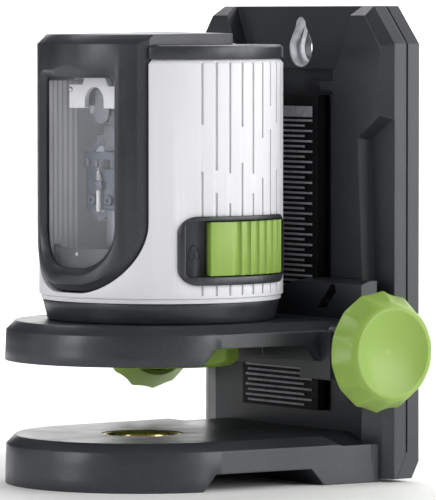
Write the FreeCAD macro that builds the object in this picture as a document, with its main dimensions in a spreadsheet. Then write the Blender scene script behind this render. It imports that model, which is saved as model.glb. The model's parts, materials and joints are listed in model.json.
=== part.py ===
import FreeCAD, Part
import math
import os

import Sketcher
from FreeCAD import Placement, Rotation, Vector

# Cross-line laser level on a height-adjustable wall bracket.
# Frame: +X to the right of someone facing the bracket, +Y towards the wall, +Z up.
# Origin: axis of the tripod thread, at the underside of the foot.

DIMENSIONS = [
    # wall plate
    ("plate_half_width", 38.6), ("plate_bottom", 0.8), ("plate_top", 113.5),
    ("flange_front", 46.2), ("seam", 49.7), ("plate_back", 53.6),
    ("corner_run", 8.2), ("corner_rise", 9.0), ("seam_gap", 0.45),
    ("column_front", 43.0), ("column_draft", 1.7),
    ("column_wide", 36.9), ("waist_upper", 28.3), ("waist_lower", 31.2), ("column_inner", 17.6),
    ("waist_top", 87.4), ("waist_slope", 5.4),
    ("base_top", 28.5), ("base_front", 44.8), ("base_flat", 30.0), ("base_half_width", 35.7),
    ("panel_front", 47.0), ("panel_bottom", 98.3), ("panel_half_width", 19.4), ("panel_flare", 7.2),
    ("tab_reach", 12.8), ("tab_low", 93.0), ("tab_high", 95.4),
    ("keyhole_centre", 103.4), ("keyhole_radius", 4.8), ("keyhole_tip_radius", 2.1),
    ("keyhole_rise", 5.4),
    # toothed rail
    ("rail_bottom", 16.0), ("rail_top", 92.0), ("rail_half_width", 15.4), ("rail_neck", 12.6),
    ("rail_face", 40.8), ("tooth_height", 0.5), ("tooth_width", 0.5), ("tooth_pitch", 1.25),
    ("first_tooth", 17.15), ("long_tooth", 13.5), ("short_tooth", 10.4),
    # round arms: the fixed foot and the sliding platform
    ("disc_radius", 32.8), ("disc_draft", 0.3), ("rim_inset", 2.5), ("rim_height", 2.2),
    ("arm_end_half_width", 33.2), ("foot_end_half_width", 35.0), ("foot_height", 11.5),
    ("recess_height", 4.0), ("recess_front", -5.1), ("recess_rear", 28.7), ("recess_slope", 3.5),
    ("notch_floor", 9.1), ("notch_front", 30.0), ("notch_half_width", 25.0),
    ("insert_outer", 9.7), ("thread_major", 7.94), ("insert_length", 11.3), ("insert_recess", 0.2),
    # sliding carriage
    ("platform_top", 38.8), ("platform_height", 9.4), ("platform_floor", 3.0), ("skirt_wall", 2.6),
    ("carriage_front", 38.0), ("carriage_rear", 42.7), ("carriage_top", 48.2),
    ("carriage_bottom", 25.0), ("carriage_half_width", 36.4), ("lug_half_width", 42.6),
    ("throat_half_width", 24.5), ("throat_top", 27.4),
    ("shaft_y", 35.2), ("shaft_z", 32.15), ("shaft_radius", 2.5), ("bush_radius", 4.0),
    # green knobs
    ("knob_radius", 14.3), ("knob_back", 43.4), ("knob_rim", 47.3), ("knob_face", 53.0),
    ("knob_face_radius", 11.6), ("dish_radius", 10.0), ("dish_depth", 2.4), ("knob_lobes", 14),
    ("knob_phase", 9.4), ("flute_depth", 0.75), ("flute_slope", 0.42), ("fixing_phase", 9.3),
    ("fixing_radius", 18.9), ("fixing_bottom", 27.9), ("fixing_height", 7.2),
    ("stud_radius", 3.1),
    # laser unit, heights above the platform
    ("laser_y", 5.5), ("laser_turn", 6.0),
    ("skirt_radius", 27.2), ("shell_radius", 29.2), ("shell_wall", 2.0),
    ("shell_bottom", 5.0), ("shell_top", 62.2), ("cap_top", 65.5), ("hood_top", 68.0),
    ("hood_radius", 29.6), ("hood_wall", 2.2), ("hood_half_width", 19.6), ("hood_bottom", 7.6),
    ("hood_corner", 16.4), ("hood_bevel", 1.7), ("hood_gap", 0.45),
    ("window_half_width", 12.4), ("window_bottom", 13.0), ("window_top", 57.8),
    ("window_corner", 9.5), ("window_arch", 2.8), ("arch_radius", 75.0), ("pane_thickness", 1.4),
    ("switch_angle", 92.3), ("switch_half_width", 17.0), ("switch_low", 9.3), ("switch_high", 25.4),
    ("slider_low", 11.5), ("slider_high", 24.1), ("slider_sweep", 52.8), ("slider_start", 71.8),
    ("slider_radius", 30.3), ("door_angle", -90.0), ("door_half_width", 19.4),
    ("door_low", 11.0), ("door_high", 56.0), ("groove_width", 0.6), ("groove_depth", 0.4),
    ("groove_first", 68.3), ("groove_step", 7.2),
    ("cell_radius", 5.2), ("cell_length", 44.0), ("cell_circle", 21.0),
    ("pivot_x", 0.0), ("pivot_y", -8.5), ("pivot_height", 53.0), ("pin_radius", 1.0),
    ("running_gap", 0.06), ("yoke_arch", 3.4),
]


class Size(float):
    """A number that remembers the spreadsheet formula that it comes from."""

    def __new__(cls, value, formula):
        size = float.__new__(cls, value)
        size.formula = formula
        return size

    def __add__(self, other):
        return combine(self, "+", other, float(self) + float(other))

    def __radd__(self, other):
        return combine(other, "+", self, float(other) + float(self))

    def __sub__(self, other):
        return combine(self, "-", other, float(self) - float(other))

    def __rsub__(self, other):
        return combine(other, "-", self, float(other) - float(self))

    def __mul__(self, other):
        return combine(self, "*", other, float(self) * float(other))

    def __rmul__(self, other):
        return combine(other, "*", self, float(other) * float(self))

    def __truediv__(self, other):
        return combine(self, "/", other, float(self) / float(other))

    def __neg__(self):
        return combine(0, "-", self, -float(self))


def formula_of(value):
    return getattr(value, "formula", "%.6f" % float(value))


def combine(left, sign, right, value):
    return Size(value, "(%s %s %s)" % (formula_of(left), sign, formula_of(right)))


document = FreeCAD.newDocument("laser_level")
sheet = document.addObject("Spreadsheet::Sheet", "Dims")


class Dimensions:
    """Every driving dimension, by name, as a Size bound to its spreadsheet cell."""


D = Dimensions()
for row, (alias, number) in enumerate(DIMENSIONS, start=1):
    sheet.set("A%d" % row, alias.replace("_", " "))
    sheet.set("B%d" % row, "%g" % number)
    sheet.setAlias("B%d" % row, alias)
    setattr(D, alias, Size(number, "Dims." + alias))
document.recompute()

parts = []          # finished sub-parts, in the order in which they are made


def bind(target, path, value):
    """Ties one property of an object to its formula in the sheet."""
    target.setExpression(path, formula_of(value))


def place(target, x=0, y=0, z=0, rotation=None):
    """Moves an object; its position stays tied to the sheet."""
    if rotation is not None:
        target.Placement = Placement(Vector(0, 0, 0), rotation)
    bind(target, "Placement.Base.x", x)
    bind(target, "Placement.Base.y", y)
    bind(target, "Placement.Base.z", z)
    return target


def finish_part(label, target):
    """Names a sub-part and adds it to those that are written out."""
    target.Label = label
    parts.append(target)
    return target


# ---------------------------------------------------------------- shape helpers

ALONG = {"x": Rotation(Vector(0, 1, 0), 90), "y": Rotation(Vector(1, 0, 0), -90), "z": Rotation()}


def block(x, y, z):
    """A box between two corners; each of x, y and z is a (low, high) pair."""
    box = document.addObject("Part::Box", "block")
    bind(box, "Length", x[1] - x[0])
    bind(box, "Width", y[1] - y[0])
    bind(box, "Height", z[1] - z[0])
    return place(box, x[0], y[0], z[0])


def rod(radius, low, high, axis="z", at=(0, 0)):
    """A cylinder along an axis from low to high; at gives its two other coordinates."""
    cylinder = document.addObject("Part::Cylinder", "rod")
    bind(cylinder, "Radius", radius)
    bind(cylinder, "Height", high - low)
    start = {"x": (low, at[0], at[1]), "y": (at[0], low, at[1]), "z": (at[0], at[1], low)}[axis]
    return place(cylinder, *start, rotation=ALONG[axis])


def taper(radius_low, radius_high, low, high, axis="z", at=(0, 0)):
    """A cone frustum along an axis."""
    cone = document.addObject("Part::Cone", "taper")
    bind(cone, "Radius1", radius_low)
    bind(cone, "Radius2", radius_high)
    bind(cone, "Height", high - low)
    start = {"x": (low, at[0], at[1]), "y": (at[0], low, at[1]), "z": (at[0], at[1], low)}[axis]
    return place(cone, *start, rotation=ALONG[axis])


def fuse(*pieces):
    joined = document.addObject("Part::MultiFuse", "fuse")
    joined.Shapes = list(pieces)
    joined.Refine = True
    return joined


def cut(base, *tools):
    result = document.addObject("Part::Cut", "cut")
    result.Base = base
    result.Tool = tools[0] if len(tools) == 1 else fuse(*tools)
    result.Refine = True
    return result


def common(*pieces):
    result = document.addObject("Part::MultiCommon", "common")
    result.Shapes = list(pieces)
    return result


def turned(target, angle):
    """Turns an object about the Z axis by an angle in degrees."""
    target.Placement = Placement(Vector(0, 0, 0), Rotation(Vector(0, 0, 1), float(angle)))
    return target


def copies(target, *placements):
    """Linked copies of a shape, each at its own placement, as one compound."""
    links = []
    for spot in placements:
        link = document.addObject("Part::Compound", "copy")
        link.Links = [target]
        link.Placement = spot
        links.append(link)
    group = document.addObject("Part::Compound", "copies")
    group.Links = links
    return group


def mirrored(target, plane_normal=Vector(1, 0, 0)):
    image = document.addObject("Part::Mirroring", "mirrored")
    image.Source = target
    image.Normal = plane_normal
    return image


def both_sides(target):
    group = document.addObject("Part::Compound", "pair")
    group.Links = [target, mirrored(target)]
    return group


def round_edges(base, radius, chosen, kind="Part::Fillet"):
    """Fillets or chamfers the edges of base that the test chooses."""
    document.recompute()
    rounded = document.addObject(kind, "rounded")
    rounded.Base = base
    edges = [(number, float(radius), float(radius))
             for number, edge in enumerate(base.Shape.Edges, start=1) if chosen(edge)]
    rounded.Edges = edges
    return rounded


def runs_along(axis):
    """A test for straight edges that are parallel to an axis."""
    direction = {"x": Vector(1, 0, 0), "y": Vector(0, 1, 0), "z": Vector(0, 0, 1)}[axis]

    def test(edge):
        if not isinstance(edge.Curve, Part.Line):
            return False
        return abs(abs(edge.Curve.Direction.dot(direction)) - 1) < 1e-6

    return test


def sketch_polygon(body, plane, points, offset=0):
    """A closed outline on one of the body's own planes; every corner is tied to the sheet."""
    role = {"XY": "XY_Plane", "XZ": "XZ_Plane", "YZ": "YZ_Plane"}[plane]
    support = [item for item in body.Origin.OriginFeatures if item.Role == role][0]
    sketch = body.newObject("Sketcher::SketchObject", "outline")
    sketch.AttachmentSupport = [(support, "")]
    sketch.MapMode = "FlatFace"
    bind(sketch, "AttachmentOffset.Base.z", offset)
    count = len(points)
    for index, (u, v) in enumerate(points):
        next_u, next_v = points[(index + 1) % count]
        sketch.addGeometry(Part.LineSegment(Vector(u, v, 0), Vector(next_u, next_v, 0)), False)
    for index, (u, v) in enumerate(points):
        sketch.addConstraint(Sketcher.Constraint("Coincident", index, 2, (index + 1) % count, 1))
        across = sketch.addConstraint(Sketcher.Constraint("DistanceX", -1, 1, index, 1, float(u)))
        sketch.setExpression("Constraints[%d]" % across, formula_of(u))
        up = sketch.addConstraint(Sketcher.Constraint("DistanceY", -1, 1, index, 1, float(v)))
        sketch.setExpression("Constraints[%d]" % up, formula_of(v))
    return sketch


def prism(plane, points, low, high):
    """An outline pushed through space from low to high along the plane's world axis."""
    body = document.addObject("PartDesign::Body", "prism")
    start = -high if plane == "XZ" else low        # the XZ plane's normal is -Y
    sketch = sketch_polygon(body, plane, points, start)
    pad = body.newObject("PartDesign::Pad", "pad")
    pad.Profile = sketch
    bind(pad, "Length", high - low)
    return body


def turning(points):
    """A solid of revolution about the Z axis from (radius, height) corners."""
    body = document.addObject("PartDesign::Body", "turning")
    sketch = sketch_polygon(body, "XZ", points)
    lathe = body.newObject("PartDesign::Revolution", "revolve")
    lathe.Profile = sketch
    lathe.ReferenceAxis = (sketch, ["V_Axis"])
    lathe.Angle = 360
    return body


def loft(plane, sections):
    """A ruled solid through outlines; sections is a list of (offset, points)."""
    body = document.addObject("PartDesign::Body", "loft")
    sketches = [sketch_polygon(body, plane, points, offset) for offset, points in sections]
    solid = body.newObject("PartDesign::AdditiveLoft", "loft")
    solid.Profile = sketches[0]
    solid.Sections = sketches[1:]
    solid.Ruled = True
    return body


def symmetric(points):
    """Completes an outline that is given for its right half, from top to bottom or back."""
    return points + [(-u, v) for u, v in reversed(points)]


# ---------------------------------------------------------------- wall plate

def plate_outline(inset=0):
    side = D.plate_half_width - inset
    top = D.plate_top - inset
    return symmetric([(side - D.corner_run, top), (side, top - D.corner_rise),
                      (side, D.plate_bottom + inset)])


def layer_profile_front():
    """Side view of the front layer, whose lower edge thins towards the front."""
    lip = D.flange_front + 0.9
    return [(D.flange_front, D.plate_bottom), (lip, D.plate_bottom), (D.seam, D.plate_bottom + 6),
            (D.seam, D.plate_top), (D.flange_front, D.plate_top)]


def layer_profile_back():
    """Side view of the rear cover, which wraps under the front layer."""
    lip = D.flange_front + 0.9
    return [(lip, D.plate_bottom), (D.plate_back - 2.1, D.plate_bottom),
            (D.plate_back, D.plate_bottom + 4), (D.plate_back, D.plate_top),
            (D.seam, D.plate_top), (D.seam, D.plate_bottom + 6)]


def plate_layer(profile):
    outline = prism("XZ", plate_outline(), D.flange_front - 1, D.plate_back + 1)
    side_view = prism("YZ", profile, -D.plate_half_width - 1, D.plate_half_width + 1)
    return common(outline, side_view)


def shadow_gap():
    """What a narrow step takes off the rear cover's rim, so that the seam shows as a line."""
    band = prism("XZ", symmetric([(D.plate_half_width + 2, D.plate_top + 2), (D.plate_half_width + 2, 7)]),
                 D.seam, D.seam + D.seam_gap)
    core = prism("XZ", plate_outline(D.seam_gap), D.seam - 1, D.seam + 2)
    return cut(band, core)


def keyhole(radius, tip_radius, front, back):
    """A pear-shaped opening: a wide bulb below and a narrow seat above."""
    tip = D.keyhole_centre + D.keyhole_rise
    bulb = rod(radius, front, back, "y", (0, D.keyhole_centre))
    seat = rod(tip_radius, front, back, "y", (0, tip))
    sides = symmetric([(tip_radius, tip), (radius * 0.92, D.keyhole_centre + 1.5)])
    bridge = prism("XZ", sides, front, back)
    return fuse(bulb, seat, bridge)


def column_outline(spread):
    """Front view of the raised part, from its front face (0) to the flange that it stands on (1)."""
    inset = 1 - spread
    wide = D.column_wide + spread * D.column_draft
    drift = 0.4 * spread * D.column_draft
    top = D.plate_top - 2.3 * inset
    corner = (wide, D.plate_top - D.corner_rise - 0.8 * inset)
    return symmetric([(wide - D.corner_run + 2.4 * inset, top), corner, (wide, D.waist_top - drift),
                      (D.waist_upper + drift, D.waist_top - D.waist_slope - drift),
                      (D.waist_lower + drift, D.base_top)])


def columns():
    """The raised front of the plate, with sloping sides that run out to the plate's edge."""
    return loft("XZ", [(-D.column_front, column_outline(0)), (-D.flange_front, column_outline(1))])


def column_base():
    """The bottom of the columns, whose corners are bevelled back towards the flange."""
    outline = symmetric([(D.base_flat, D.column_front), (D.base_half_width, D.base_front),
                         (D.plate_half_width, D.flange_front)])
    return prism("XY", outline, D.plate_bottom, D.base_top)


def front_frame():
    """Front moulding of the plate: flange, columns, recessed panel and rail channel."""
    flange = plate_layer(layer_profile_front())
    body = fuse(flange, columns())
    body = fuse(body, column_base())
    panel_top = D.panel_half_width + D.panel_flare
    panel = prism("XZ", symmetric([(panel_top, D.plate_top + 1), (D.panel_half_width, D.panel_bottom)]),
                  D.column_front - 1, D.panel_front)
    pocket = block((-D.column_inner - 0.8, D.column_inner + 0.8), (D.column_front - 1, D.seam - 1.2),
                   (D.rail_top, D.panel_bottom))
    tab = prism("XZ", [(D.column_inner + 1, D.tab_high), (D.tab_reach, D.tab_high),
                       (D.tab_reach + 0.8, D.tab_low), (D.column_inner + 1, D.tab_low)],
                D.column_front, D.flange_front)
    channel = block((-D.column_inner, D.column_inner), (D.column_front - 1, D.flange_front),
                    (D.rail_bottom, D.rail_top + 1))
    opening = keyhole(D.keyhole_radius, D.keyhole_tip_radius, D.panel_front - 1, D.seam + 1)
    screw_holes = rail_screw_rods(1.15, D.flange_front - 1, D.seam + 1)
    cover_holes = cover_screw_rods(0.95, D.seam - 2.2, D.seam + 1)
    opened = cut(body, panel, pocket, channel, opening, screw_holes, cover_holes)
    return finish_part("front_frame", fuse(opened, both_sides(tab)))


def back_cover():
    """Rear layer with magnet pockets, the keyhole and countersunk screw holes."""
    layer = plate_layer(layer_profile_back())
    opening = keyhole(D.keyhole_radius - 0.4, D.keyhole_tip_radius + 1.2, D.seam - 1, D.plate_back + 1)
    plate_seat = block((-9.2, 9.2), (D.seam - 1, D.seam + 1.3), (96.8, 112.2))
    magnets = magnet_blocks(0.1)
    holes = cover_screw_rods(1.15, D.seam - 1, D.plate_back + 1)
    heads = cover_screw_rods(2.3, D.plate_back - 1.6, D.plate_back + 1)
    rail_heads = rail_screw_rods(2.4, D.seam - 1, D.seam + 1.9)
    pierced = cut(layer, shadow_gap(), opening, plate_seat, magnets, holes, heads, rail_heads)
    return finish_part("back_cover", pierced)


def magnet_blocks(gap):
    """Four bar magnets, set flush into the back."""
    blocks = [block((x - 9 - gap, x + 9 + gap), (D.plate_back - 2.0 - gap, D.plate_back),
                    (z - 4 - gap, z + 4 + gap)) for x in (-24, 24) for z in (22, 84)]
    group = document.addObject("Part::Compound", "magnets")
    group.Links = blocks
    return group


def rail_screw_rods(radius, front, back):
    rods = [rod(radius, front, back, "y", (0, z)) for z in (24, 54, 84)]
    group = document.addObject("Part::Compound", "rail_screw_rods")
    group.Links = rods
    return group


def cover_screw_rods(radius, front, back):
    rods = [rod(radius, front, back, "y", (x, z)) for x in (-33.5, 33.5) for z in (12, 54, 97)]
    group = document.addObject("Part::Compound", "cover_screw_rods")
    group.Links = rods
    return group


def plate_fittings():
    hanger = block((-9, 9), (D.seam, D.seam + 1.2), (97, 112))
    opening = keyhole(D.keyhole_radius - 1.2, D.keyhole_tip_radius - 0.3, D.seam - 1, D.seam + 3)
    finish_part("hanger_plate", cut(hanger, opening))
    finish_part("back_magnets", magnet_blocks(0))
    heads = rail_screw_rods(2.2, D.seam, D.seam + 1.7)
    shanks = rail_screw_rods(1.0, D.flange_front - 2.5, D.seam)
    finish_part("rail_screws", fuse(heads, shanks))
    cover_heads = cover_screw_rods(2.1, D.plate_back - 1.6, D.plate_back - 0.2)
    cover_shanks = cover_screw_rods(0.9, D.seam - 2.0, D.plate_back - 1.6)
    recesses = [block((x - a, x + a), (D.plate_back - 1.0, D.plate_back), (z - b, z + b))
                for x in (-33.5, 33.5) for z in (12, 54, 97) for a, b in ((1.3, 0.25), (0.25, 1.3))]
    finish_part("cover_screws", cut(fuse(cover_heads, cover_shanks), *recesses))


def toothed_rail():
    """T-shaped rail whose front carries the teeth, long and short in turn."""
    body = document.addObject("PartDesign::Body", "rail_bar")
    profile = sketch_polygon(body, "XY", symmetric(
        [(D.rail_half_width, D.rail_face), (D.rail_half_width, D.column_front),
         (D.rail_neck, D.column_front), (D.rail_neck, D.flange_front)]), D.rail_bottom)
    bar = body.newObject("PartDesign::Pad", "bar")
    bar.Profile = profile
    bind(bar, "Length", D.rail_top - D.rail_bottom)
    half = D.tooth_width / 2
    rows = int((float(D.rail_top) - float(D.first_tooth) - 4.5) / (2 * float(D.tooth_pitch)))
    for reach, start in ((D.long_tooth, D.first_tooth + D.tooth_pitch), (D.short_tooth, D.first_tooth)):
        left = D.long_tooth - 0.9 if reach is D.short_tooth else D.long_tooth
        outline = [(-left, start - half), (reach, start - half),
                   (reach, start + half), (-left, start + half)]
        sketch = sketch_polygon(body, "XZ", outline, -D.rail_face)
        tooth = body.newObject("PartDesign::Pad", "tooth")
        tooth.Profile = sketch
        bind(tooth, "Length", D.tooth_height)
        document.recompute()
        comb = body.newObject("PartDesign::LinearPattern", "comb")
        comb.Originals = [tooth]
        comb.Direction = (sketch, ["V_Axis"])
        comb.Occurrences = rows
        bind(comb, "Length", 2 * D.tooth_pitch * (rows - 1))
        body.Tip = comb
    stop_low = D.first_tooth + 2 * D.tooth_pitch * rows - 0.4
    stop = block((-D.long_tooth, D.long_tooth), (D.rail_face - D.tooth_height, D.rail_face),
                 (stop_low, stop_low + 2.6))
    holes = rail_screw_rods(1.0, D.flange_front - 2.6, D.flange_front + 1)
    return finish_part("toothed_rail", cut(fuse(body, stop), holes))


# ---------------------------------------------------------------- round arms

def arm_blank(low, high, end, end_half_width):
    """A round disc with a straight arm that runs back to the plate; its upper rim is bevelled."""
    edge = high - D.rim_height
    drafted = D.disc_radius - D.disc_draft
    disc = turning([(0, low), (D.disc_radius, low), (drafted, edge),
                    (drafted - D.rim_inset + 0.3, high), (0, high)])
    flare = end_half_width - D.disc_radius

    def section(widen):
        return symmetric([(drafted - D.rim_inset + 0.3 + widen, high), (drafted + widen, edge),
                          (D.disc_radius + widen, low)])

    arm = loft("XZ", [(0, section(0)), (-end, section(flare))])
    return fuse(disc, arm)


def side_recess(low):
    """A shallow cut right across the underside, with sloping ends."""
    top = low + D.recess_height
    outline = [(D.recess_front, low - 1), (D.recess_front, low), (D.recess_front + D.recess_slope, top),
               (D.recess_rear - D.recess_slope, top), (D.recess_rear, low), (D.recess_rear, low - 1)]
    return prism("YZ", outline, -D.foot_end_half_width - 4, D.foot_end_half_width + 4)


def foot():
    """The fixed foot, with the tripod thread in its middle and a low step at each rear corner."""
    arm = arm_blank(0, D.foot_height, D.column_front, D.foot_end_half_width)
    tail_side = D.foot_end_half_width - 0.15
    tail = block((-tail_side, tail_side), (D.column_front - 0.5, D.base_front - 0.1), (0, D.notch_floor))
    blank = fuse(arm, tail)
    depth = D.foot_height - D.notch_floor
    across = [(D.notch_half_width, D.foot_height + 1), (D.notch_half_width, D.foot_height),
              (D.notch_half_width + 2.4 * depth, D.notch_floor),
              (D.foot_end_half_width + 6, D.notch_floor), (D.foot_end_half_width + 6, D.foot_height + 1)]
    along = [(D.notch_front, D.foot_height + 1), (D.notch_front, D.foot_height),
             (D.notch_front + 1.6 * depth, D.notch_floor), (D.flange_front, D.notch_floor),
             (D.flange_front, D.foot_height + 1)]
    notch = common(prism("XZ", across, D.notch_front, D.flange_front), prism("YZ", along, 0, 60))
    hole = rod(D.insert_outer, -1, D.foot_height + 1)
    return finish_part("foot", cut(blank, column_base(), side_recess(0), both_sides(notch), hole))


def tripod_insert():
    """Brass bush with the 5/8 inch tripod thread."""
    top = D.foot_height - D.insert_recess
    bush = cut(rod(D.insert_outer, top - D.insert_length, top), rod(D.thread_major, -1, top + 1))
    mouth = taper(D.thread_major, D.thread_major + 0.8, top - 0.8, top)
    return finish_part("tripod_insert", cut(bush, mouth))


# ---------------------------------------------------------------- carriage

def carriage():
    """One moulding: round platform, arm and the upright that runs on the rail."""
    low = D.platform_top - D.platform_height
    blank = arm_blank(low, D.platform_top, D.carriage_rear, D.arm_end_half_width)
    inner = D.disc_radius - D.skirt_wall
    roof = D.platform_top - D.platform_floor
    cavity = fuse(rod(inner, low - 1, roof), block((-inner, inner), (0, D.recess_rear), (low - 1, roof)))
    arm = cut(blank, side_recess(low), cavity)
    upright = block((-D.carriage_half_width, D.carriage_half_width), (D.carriage_front, D.carriage_rear),
                    (D.carriage_bottom, D.carriage_top))
    chest = block((-D.carriage_half_width, D.carriage_half_width),
                  (D.shaft_y - 6.4, D.carriage_rear), (D.carriage_bottom, D.platform_top - 2.4))
    lugs = rod(6.2, -D.lug_half_width, D.lug_half_width, "x", (D.shaft_y, D.shaft_z))
    whole = fuse(arm, upright, chest, lugs)
    way_side = D.rail_half_width + 0.3
    rail_way = block((-way_side, way_side), (D.rail_face - D.tooth_height - 0.3, D.carriage_rear + 1),
                     (D.carriage_bottom - 1, D.carriage_top + 1))
    hook_seats = both_sides(block((D.rail_half_width + 0.2, 22.1), (41.2, D.carriage_rear + 1),
                                  (27.9, 46.1)))
    v_low = D.carriage_top - 2.4
    v_notch = prism("XZ", symmetric([(14.6, D.carriage_top + 1), (13.6, D.carriage_top), (4.3, v_low)]),
                    D.carriage_front - 1, D.carriage_rear + 1)
    slots = both_sides(prism("XZ", [(19.0, 41.1), (22.3, 41.1), (26.4, 45.2), (26.0, 46.8), (24.6, 47.2)],
                             D.carriage_front - 1, D.carriage_front + 2.6))
    pinion_bay = rod(5.7, -8.5, 8.5, "x", (D.shaft_y, D.shaft_z))
    pinion_window = block((-8.5, 8.5), (D.shaft_y, D.carriage_rear + 1), (D.shaft_z - 6.2, D.shaft_z + 6.2))
    bore = rod(D.bush_radius, -60, 60, "x", (D.shaft_y, D.shaft_z))
    stud_hole = rod(D.stud_radius + 0.4, low, D.platform_top + 1, "z", (0, D.laser_y))
    pad_seat = cut(rod(24.2, D.platform_top - 0.6, D.platform_top + 1, "z", (0, D.laser_y)),
                   rod(15.8, D.platform_top - 1, D.platform_top + 2, "z", (0, D.laser_y)))
    bevel_low = D.carriage_top - 0.9
    bevel_high = D.carriage_top + 0.01
    bevel = prism("YZ", [(D.carriage_front - 1, bevel_high), (D.carriage_front - 1, bevel_low),
                         (D.carriage_front, bevel_low), (D.carriage_rear - 2, bevel_high)], -60, 60)
    throat = block((-D.throat_half_width, D.throat_half_width), (D.shaft_y - 7, D.carriage_rear + 1),
                   (D.carriage_bottom - 1, D.throat_top))
    screw_seats = hook_screw_rods(0.95, 39.4, 41.3)
    return finish_part("carriage", cut(whole, throat, rail_way, hook_seats, v_notch, slots, pinion_bay,
                                       pinion_window, bore, stud_hole, pad_seat, bevel, screw_seats))


def hook_screw_rods(radius, front, back):
    rods = [rod(radius, front, back, "y", (x, z)) for x in (-19.8, 19.8) for z in (31.0, 43.0)]
    group = document.addObject("Part::Compound", "hook_screw_rods")
    group.Links = rods
    return group


def carriage_fittings():
    hook = prism("XY", [(12.9, D.column_front + 0.3), (15.7, D.column_front + 0.3),
                        (15.7, 41.2), (22, 41.2),
                        (22, D.carriage_rear), (17.3, D.carriage_rear), (17.3, D.column_front + 2.2),
                        (12.9, D.column_front + 2.2)], 28.3, 46)
    hook_holes = hook_screw_rods(1.0, 41, 44)
    finish_part("guide_hook_right", cut(hook, hook_holes))
    finish_part("guide_hook_left", cut(mirrored(hook), hook_holes))
    finish_part("hook_screws", hook_screw_rods(0.9, 39.6, D.carriage_rear - 0.2))
    bush = cut(rod(D.bush_radius, 9.0, D.lug_half_width, "x", (D.shaft_y, D.shaft_z)),
               rod(D.shaft_radius + D.running_gap, 8, 60, "x", (D.shaft_y, D.shaft_z)))
    finish_part("shaft_bushes", both_sides(bush))
    pad = cut(rod(24.1, D.platform_top - 0.6, D.platform_top + 0.04, "z", (0, D.laser_y)),
              rod(15.9, 0, 60, "z", (0, D.laser_y)))
    finish_part("platform_pad", pad)


# ---------------------------------------------------------------- green knobs

def around_axis(count, start=0.0):
    """Placements that repeat something evenly around the Z axis."""
    step = 360 / count
    return [Placement(Vector(0, 0, 0), Rotation(Vector(0, 0, 1), start + step * k)) for k in range(count)]


def scalloped(radius, low, high, lobes, depth, phase, widest=0, slope=0):
    """A round blank along Z with scallops around its edge, which deepen past its widest height."""
    blank = rod(radius, low, high)
    scallop = radius * 0.62
    spread = slope * (high - widest)
    cutter = taper(scallop - slope * (widest - low), scallop + spread, low - 0.01, high + 0.01, "z",
                   (radius + scallop - depth, 0))
    return cut(blank, copies(cutter, *around_axis(int(lobes), float(phase))))


def height_knob():
    """The knob for the right-hand side, along Z; its dished face is up."""
    rim = D.knob_rim - D.knob_back
    face = D.knob_face - D.knob_back
    lobed = scalloped(D.knob_radius, 0, face, D.knob_lobes, D.flute_depth, D.knob_phase, rim, D.flute_slope)
    form = turning([(0, 0), (D.knob_radius - 3.6, 0), (D.knob_radius - 3.3, 0.3), (D.knob_radius, rim),
                    (D.knob_radius - 0.4, rim + 1.0), (D.knob_face_radius, face - 0.7),
                    (D.knob_face_radius - 0.9, face), (0, face)])
    dish_sphere = document.addObject("Part::Sphere", "dish")
    bowl = (D.dish_radius * D.dish_radius + D.dish_depth * D.dish_depth) / (2 * D.dish_depth)
    bind(dish_sphere, "Radius", bowl)
    place(dish_sphere, 0, 0, face + bowl - D.dish_depth)
    socket = rod(D.shaft_radius, -1, 6.0)
    hub_gap = cut(rod(D.knob_radius - 4.6, -1, 2.6), rod(6.0, -2, 4))
    return cut(common(lobed, form), dish_sphere, socket, hub_gap)


def height_drive():
    """Shaft, pinion and the two knobs, which turn as one."""
    right = height_knob()
    right_turn = Rotation(Vector(0, 1, 0), 90)
    left_turn = Rotation(Vector(0, 1, 0), -90)
    place(right, D.knob_back, D.shaft_y, D.shaft_z, right_turn)
    finish_part("height_knob_right", right)
    left = height_knob()
    place(left, -D.knob_back, D.shaft_y, D.shaft_z, left_turn)
    finish_part("height_knob_left", left)
    reach = D.knob_back + 6.0
    shaft = rod(D.shaft_radius, -reach, reach, "x", (D.shaft_y, D.shaft_z))
    finish_part("height_shaft", shaft)
    washer = cut(rod(4.6, D.lug_half_width + 0.1, D.knob_back, "x", (D.shaft_y, D.shaft_z)),
                 rod(D.shaft_radius, 0, 60, "x", (D.shaft_y, D.shaft_z)))
    finish_part("friction_washers", both_sides(washer))
    finish_part("height_pinion", pinion())


PINION_TEETH = 26


def pinion():
    """Small gear that rolls on the rail; a gap faces the rail at rest."""
    pitch_radius = PINION_TEETH * D.tooth_pitch / (2 * math.pi)
    outer = pitch_radius + 0.22
    root = pitch_radius - 0.35
    hub = rod(root, -7, 7)
    half_root = 0.36
    half_tip = 0.16
    base = root - 0.3
    flank = [(base, -half_root), (outer, -half_tip), (outer, half_tip), (base, half_root)]
    tooth = prism("XY", flank, -7, 7)
    half_step = 180 / PINION_TEETH
    gear = cut(fuse(hub, copies(tooth, *around_axis(PINION_TEETH, half_step))), rod(D.shaft_radius, -8, 8))
    # local +X of the gear faces the rail (+Y) once the gear lies along X
    lie_down = Rotation(Vector(0, 1, 0), Vector(0, 0, 1), Vector(1, 0, 0), "XYZ")
    return place(gear, 0, D.shaft_y, D.shaft_z, lie_down)


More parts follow.
